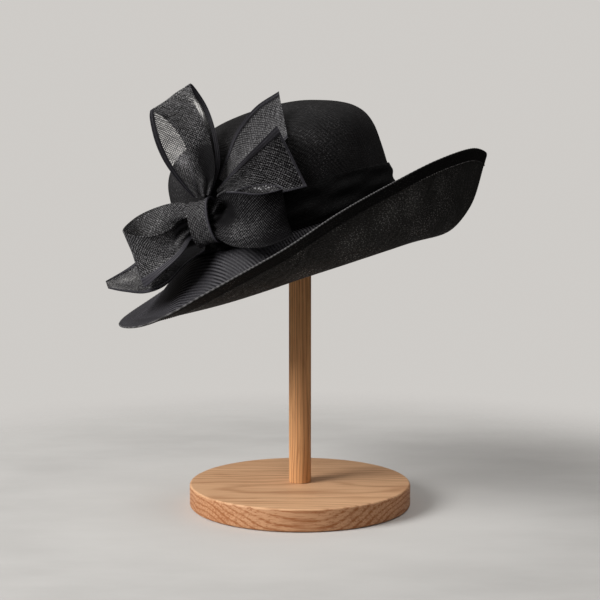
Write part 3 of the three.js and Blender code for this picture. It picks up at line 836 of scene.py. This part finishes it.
def make_stand():
    arc = [
        (BASE_RADIUS - BASE_ROUND + BASE_ROUND * math.cos(t), BASE_ROUND * math.sin(t))
        for t in np.linspace(-math.pi / 2, 0, 6)
    ]
    lower = [(r, BASE_ROUND + h) for r, h in arc]
    upper = [(r, BASE_THICKNESS - BASE_ROUND - h) for r, h in reversed(arc)]
    base_oak = oak("oak_base", "X", (0.80, 0.485, 0.275), (0.33, 0.12, 0.042), side=0.5)
    base = lathe("base_wood", lower + upper, BASE_SIDES, base_oak)
    finish_piece(base, "oak", "stand_base")
    post_oak = oak("oak_post", "Z", (0.75, 0.40, 0.18), (0.18, 0.045, 0.009))
    line = [(POST_RADIUS, height + POST_GAP) for height in (BASE_THICKNESS, POST_TOP)]
    finish_piece(lathe("post_wood", line, POST_SIDES, post_oak), "oak", "stand_post")
    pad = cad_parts["stand_pad"]
    pad.data.materials.clear()
    pad.data.materials.append(oak("oak_pad", "Z", (0.70, 0.38, 0.185), (0.25, 0.075, 0.02)))


def make_stage():
    """A plain pale floor that gives way to the backdrop away from the stand."""
    n = Nodes("floor_plaster")
    place = n.new("ShaderNodeTexCoord").outputs["Object"]
    x, y, _ = n.split(place)
    away = n.math("SQRT", n.add(n.times(x, x), n.times(y, y)))
    cloud = n.noise(n.mapped(place, scale=(1, 2.2, 1)), 7.0, 4.0, 0.6)
    tone = n.mix(n.band(cloud, 0.3, 0.7), (0.47, 0.466, 0.457), (0.52, 0.516, 0.507))
    # Painted light: the floor is paler near the stand, lifting the shade that the hat casts there
    tone = n.mix(n.band(away, *FLOOR_PAINTED_LIGHT, 0.5, 0.0), tone, (0.85, 0.843, 0.826))
    n.link(n.shader.inputs["Base Color"], tone)
    n.link(n.shader.inputs["Alpha"], n.band(away, *FLOOR_FADE, 1.0, 0.0))
    n.shader.inputs["Roughness"].default_value = 0.7
    n.shader.inputs["Specular IOR Level"].default_value = 0.25
    bpy.ops.mesh.primitive_circle_add(vertices=96, radius=FLOOR_RADIUS, fill_type="NGON",
                                      location=(0, 0, -FLOOR_DROP))
    floor = bpy.context.object
    floor.name = "floor"
    floor.data.materials.append(n.material)


def make_light(name, place, target, size, watts, colour=(1, 1, 1)):
    """A round soft lamp that points at a target."""
    lamp = bpy.data.lights.new(name, "AREA")
    lamp.shape = "DISK"
    lamp.size = size
    lamp.energy = watts
    lamp.color = colour
    holder = bpy.data.objects.new(name, lamp)
    holder.location = place
    holder.rotation_mode = "QUATERNION"
    holder.rotation_quaternion = (Vector(target) - Vector(place)).to_track_quat("-Z", "Y")
    bpy.context.scene.collection.objects.link(holder)


def make_camera():
    lens = bpy.data.cameras.new("camera")
    lens.lens = CAMERA_LENS
    lens.sensor_width = SENSOR_WIDTH
    camera = bpy.data.objects.new("camera", lens)
    camera.location = CAMERA_PLACE
    camera.rotation_euler = (math.radians(90) - CAMERA_DOWN, 0, 0)
    bpy.context.scene.collection.objects.link(camera)
    bpy.context.scene.camera = camera


def make_world():
    """A plain backdrop that lights the object less than the camera sees it."""
    world = bpy.data.worlds.new("studio")
    bpy.context.scene.world = world
    world.use_nodes = True
    tree = world.node_tree
    sky = tree.nodes["Background"]
    seen = tree.nodes.new("ShaderNodeLightPath").outputs["Is Camera Ray"]
    tone = tree.nodes.new("ShaderNodeMix")
    tone.data_type = "RGBA"
    tree.links.new(seen, tone.inputs["Factor"])
    tone.inputs["A"].default_value = BACKDROP_GLOW
    tone.inputs["B"].default_value = BACKDROP_SEEN
    tree.links.new(tone.outputs["Result"], sky.inputs["Color"])
    place = tree.nodes.new("ShaderNodeTexCoord").outputs["Generated"]
    parts = tree.nodes.new("ShaderNodeSeparateXYZ")
    tree.links.new(place, parts.inputs[0])
    rise = tree.nodes.new("ShaderNodeMapRange")
    rise.interpolation_type = "SMOOTHSTEP"
    tree.links.new(parts.outputs["Z"], rise.inputs["Value"])
    limits = zip(("From Min", "From Max", "To Min", "To Max"), BACKDROP_RISE + BACKDROP_LIGHT)
    for name, value in limits:
        rise.inputs[name].default_value = value
    level = tree.nodes.new("ShaderNodeMapRange")
    tree.links.new(seen, level.inputs["Value"])
    tree.links.new(rise.outputs[0], level.inputs["To Min"])
    level.inputs["To Max"].default_value = 1.0
    tree.links.new(level.outputs[0], sky.inputs["Strength"])


def cord_material(name, dark, pale, start, end):
    """A twisted fibre cord with a painted highlight: paler between two places along X, where it
    catches the light.
    """
    n = Nodes(name)
    place = n.new("ShaderNodeTexCoord").outputs["Object"]
    x, y, z = n.split(place)
    twist = n.wave(n.times(n.add(n.add(x, y), n.times(z, 0.6)), 1 / 0.0034))
    worn = n.noise(place, 260.0, 2.0)
    # Painted highlight: the stretch between start and end is paler
    inside = n.times(
        n.band(x, start - 0.015, start + 0.015), n.band(x, end - 0.02, end + 0.02, 1.0, 0.0)
    )
    share = n.add(n.times(n.band(twist, 0.2, 0.8), 0.7), n.times(worn, 0.5))
    n.link(n.shader.inputs["Base Color"], n.mix(n.times(share, inside), dark, pale))
    n.shader.inputs["Roughness"].default_value = 0.5
    n.shader.inputs["Specular IOR Level"].default_value = 0.2
    n.bump(twist, 0.0002)
    return n.material


make_camera()
bpy.context.scene.view_settings.view_transform = "Standard"
make_world()
make_stage()
key_place = [
    KEY_AWAY * math.cos(KEY_HEIGHT) * math.sin(KEY_TURN),
    -KEY_AWAY * math.cos(KEY_HEIGHT) * math.cos(KEY_TURN),
    KEY_AWAY * math.sin(KEY_HEIGHT) + KEY_TARGET[2],
]
make_light("key", key_place, KEY_TARGET, KEY_SIZE, KEY_WATTS, KEY_COLOUR)
make_light("top", TOP_PLACE, TOP_TARGET, TOP_SIZE, TOP_WATTS)

crown_cloth = sinamay(
    "crown_sinamay", (0.0045, 0.0044, 0.0047), (0.080, 0.078, 0.082), level=0.12, weave=0.18,
    turn=52, ribs=(0.10, 0.26), rib=0.1, wobble=0.7, fleck=0.36, patch=(0.42, 0.8), gloss=0.35,
    # Places of painted highlight on the crown's left side, front and right shoulder, where it
    # catches the light
    glints=[
        (-100, -50, 30, 30, 1.0), (50, -96, 26, 9, 1.0), (79, -90, 20, 16, 0.5),
        (114, -74, 20, 22, 0.35), (-63, -72, 20, 25, 0.5), (-20, -80, 24, 12, 0.5),
    ],
)
brim_top = sinamay(
    "brim_top_sinamay", (0.006, 0.0058, 0.0068), (0.085, 0.083, 0.096), level=0.34, weave=0.15,
    turn=20, ribs=(0, 0.33), centre=(-215, -180), rib=0.55, wobble=0.35, fleck=0.2, gloss=0.45,
)
# The brim's underside: its speckled weave is its own, its tones are set apart from the top's to
# suit the light under the brim, partly painted light and shade, and its places of painted
# highlight sit along its near flank, most near the right end
brim_under = sinamay(
    "brim_under_sinamay", (0.0065, 0.0063, 0.0062), (0.185, 0.181, 0.178), level=0.12, weave=0.14,
    turn=48, ribs=(0.05, 0.1), rib=0.05, fleck=0.66, patch=(0.42, 0.78), gloss=0.3,
    glints=[
        (105, -162, 22, 12, 1.3), (133, -150, 16, 16, 1.5), (58, -168, 20, 10, 0.9),
        (5, -155, 20, 10, 0.55), (168, -122, 12, 14, 0.8),
    ],
)
brim_hem = sinamay(
    "brim_hem_sinamay", (0.004, 0.0038, 0.0038), (0.06, 0.058, 0.058), level=0.1, weave=0.12,
    turn=48, rib=0.04, fleck=0.2, gloss=0.3,
)
band_cloth = sinamay(
    "band_sinamay", (0.0045, 0.0045, 0.0047), (0.07, 0.07, 0.072), level=0.09, weave=0.2,
    turn=45, rib=0.05, fleck=0.12, gloss=0.2, rough=0.6,
)

BOW_CLOTH = {
    "level": 0.15, "weave": 0.78, "turn": 42, "ribs": (0.18, 0.12), "rib": 0.25, "wobble": 1.2,
    "fleck": 0.7, "patch": (0.3, 0.6), "open_share": 0.3, "pitch": 1.75, "drift": 3.0,
}


def bow_cloth(name, **details):
    """The bow's ribbon cloth, with what differs from its usual look."""
    return sinamay(name, (0.005, 0.0048, 0.0055), (0.16, 0.158, 0.166), **{**BOW_CLOTH, **details})


def hem_cloth(name, ribs):
    """A ribbon's folded hem, with its fine ribs along or across it."""
    return sinamay(
        name, (0.010, 0.0098, 0.012), (0.085, 0.082, 0.098), level=0.36, weave=0.12, pitch=1.1,
        ribs=ribs, rib=0.4, wobble=0.1, fleck=0.1, gloss=0.4,
    )


HEM = hem_cloth("bow_hem_sinamay", (0.0, 0.42))
END_HEM = hem_cloth("bow_end_hem_sinamay", (0.33, 0.0))
# The edge cord and the hem's stitches carry painted highlights on the stretches that catch the
# light
cord = cord_material("brim_edge_fibre", (0.010, 0.0098, 0.0105), (0.13, 0.128, 0.132), -0.3, 0.08)
thread = cord_material("stitch_thread", (0.006, 0.0058, 0.006), (0.30, 0.29, 0.29), 0.095, 0.145)

make_crown(crown_cloth)
make_brim(brim_top, brim_hem, brim_under)
make_brim_edge(cord, thread)
make_band(band_cloth)
make_ribbon(
    "upper_loop_cloth", UPPER_LOOP,
    [
        # Painted shade in the loop's dark interior by the knot and on its back strip, and painted
        # highlights on the lit veil low in its window and along its top
        bow_cloth("upper_loop_sinamay", level=0.24, pitch=1.55,
                  open_share=0.56, open_later=(98, 0.3),
                  shades=[(25, 38, 20, 12, 1.6), (47, 43, 14, 8, 0.8), (156, 24, 34, 30, 1.3)],
                  glints=[(34, 15, 13, 7, 5.0), (86, 24, 12, 20, 1.8)],
                  windows=[(69, 44, 14, 0.9, 1.7), (113, 35, 12, 2.4, 4.0)]),
        HEM,
    ],
    "bow_sinamay", "bow_upper_loop", hems=(4.5, 5.5), hem_from=(0, 3.9),
    pleats=[(0, 1.2, 2.5, 1.4, 0.1), (8, 1.2, 2.5, 1.2, 0.4)],
)
make_ribbon(
    "left_loop_cloth", LEFT_LOOP,
    [
        # Painted shade in the crease by the knot and on the loop's back layer, and a painted
        # highlight on the back layer near its top edge
        bow_cloth("left_loop_sinamay", ribs=(0.2, 0.2), open_share=0.3, open_later=(80, 0.15),
                  shades=[(20, 12, 12, 10, 1.1), (143, 26, 16, 22, 0.7)],
                  glints=[(140, 8, 18, 7, 1.2)]),
        HEM,
    ],
    "bow_sinamay", "bow_left_loop", hems=(0.9, 7.5), hem_from=(99, 0),
    pleats=[(1, 1.6, 3, 1.2, 0.2), (9, 1.6, 3, 1.2, 0.7)],
)
make_ribbon(
    "right_loop_cloth", RIGHT_LOOP,
    [
        # Painted shade in the dimple by the knot and over the loop's far part, and painted
        # highlights on the ribs beside the dimple and in the top fold's opening
        bow_cloth("right_loop_sinamay", level=0.0, weave=0.32, ribs=(0.05, 0.28), rib=0.15,
                  fleck=0.2, open_share=0.1, glints=[(32, 32, 15, 9, 1.9), (110, 3, 18, 4, 5.0)],
                  shades=[(18, 19, 11, 11, 2.0), (70, 42, 30, 9, 0.9), (84, 25, 16, 60, 0.9),
                          (140, 24, 46, 30, 0.9)]),
        HEM,
    ],
    "bow_sinamay", "bow_right_loop", hems=(1.0, 0.8), hem_from=(2.5, 99),
    pleats=[(1, 1.5, 4, 1.0, 0.1), (9, 1.2, 3, 0.8, 0.5)],
    puffs=[(1.75, 0.34, 0.45, 0.17, 6.5), (2.2, 0.78, 0.8, 0.25, -4.0)],
)
make_ribbon(
    "front_tail_cloth", FRONT_TAIL,
    [
        # Painted shade in a band across the tail near its end
        bow_cloth("front_tail_sinamay", level=0.1, ribs=(-0.26, 0.26), rib=0.6, wobble=0.3,
                  open_share=0.2, shades=[(66, 25, 6, 60, 0.5)]),
        HEM,
        END_HEM,
    ],
    "bow_sinamay", "bow_front_tail", hems=(6.0, 1.5), end_hem=3.0,
    pleats=[(0, 1.2, 2, 0.8, 0.3)], sway=0.5,
)
make_ribbon(
    "back_tail_cloth", BACK_TAIL,
    [
        bow_cloth("back_tail_sinamay", level=0.38, weave=0.55, rib=0.15, fleck=0.4,
                  open_share=0.12),
        HEM,
        END_HEM,
    ],
    "bow_sinamay", "bow_back_tail", hems=(4.0, 3.0), end_hem=1.0, sway=0.4,
)
make_ribbon(
    "lower_tail_cloth", LOWER_TAIL,
    [
        # Painted shade where the tail runs under the left loop by the knot, and painted highlights
        # on its lit sheer part towards the tip
        bow_cloth("lower_tail_sinamay", open_share=0.02, open_later=(66, 0.35),
                  shades=[(18, 14, 38, 60, 1.0), (46, 46, 12, 14, 0.9)],
                  glints=[(84, 22, 12, 8, 0.9), (92, 44, 14, 6, 0.8)],
                  windows=[(85, 18, 10, 7, 0.7)]),
        HEM,
    ],
    "bow_sinamay", "bow_lower_tail", hems=(4.0, 4.5), sway=0.5,
)
make_knot([
    bow_cloth("knot_sinamay", level=0.22, weave=0.42, rib=0.1, fleck=0.35, open_share=0.0), HEM,
])
make_stand()
